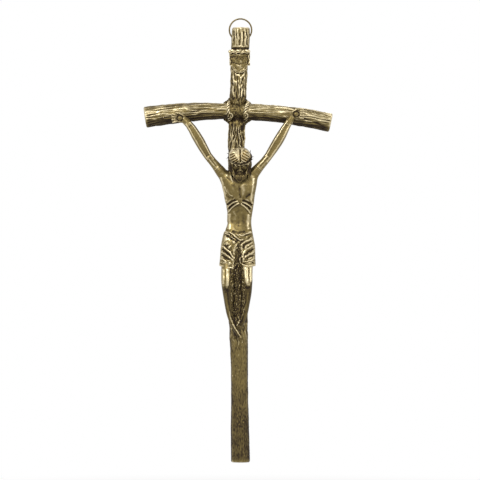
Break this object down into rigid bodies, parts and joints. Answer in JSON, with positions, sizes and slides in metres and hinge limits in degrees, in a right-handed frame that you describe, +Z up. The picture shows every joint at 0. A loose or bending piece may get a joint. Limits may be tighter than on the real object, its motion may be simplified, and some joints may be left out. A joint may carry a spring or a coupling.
{
  "type": "wall crucifix",
  "caption": "Antique brass wall crucifix: corpus nailed to a rough log cross with a drooping crossbeam, rope lashings, a title scroll and a hanging ring.",
  "frame": {"origin": "the crossing of the two logs, on the flat back that lies against the wall", "axes": "+Z up along the upright, +X to the right seen from the front, -Y towards the viewer"},
  "size_m": [0.1106, 0.0253, 0.2595],
  "materials": {
    "log_brass": "antique, dark patina in the bark grooves, worn bright on the ridges",
    "rope_brass": "antique, worn bright",
    "scroll_brass": "antique, worn bright on the roll",
    "wire_brass": "antique, dull drawn wire",
    "figure_brass": "antique, olive patina, worn bright on the high places",
    "crown_brass": "antique, dark patina",
    "nail_brass": "antique, worn bright",
    "pin_brass": "plain drawn brass"
  },
  "bodies": {
    "cross": {"upright": "log_brass", "crossbeam": "log_brass", "joint_pins": "pin_brass", "lashing_left": "rope_brass", "lashing_right": "rope_brass", "corner_lashing": "rope_brass", "title_scroll": "scroll_brass", "scroll_pins": "pin_brass", "ring_eye": "wire_brass", "corpus_body": "figure_brass", "corpus_head": "figure_brass", "thorn_crown": "crown_brass", "neck_pin": "pin_brass", "left_arm": "figure_brass", "right_arm": "figure_brass", "shoulder_pins": "pin_brass", "corpus_pin": "pin_brass", "left_hand_nail": "nail_brass", "right_hand_nail": "nail_brass", "foot_nail": "nail_brass"},
    "ring": {"hanging_ring": "wire_brass"}
  },
  "joints": [
    {"name": "ring_swing", "type": "hinge", "parent": "cross", "child": "ring", "pos_m": [0.00182, -0.00143, 0.0411], "axis": [-1, 0, 0], "range_deg": [-4, 150]}
  ]
}
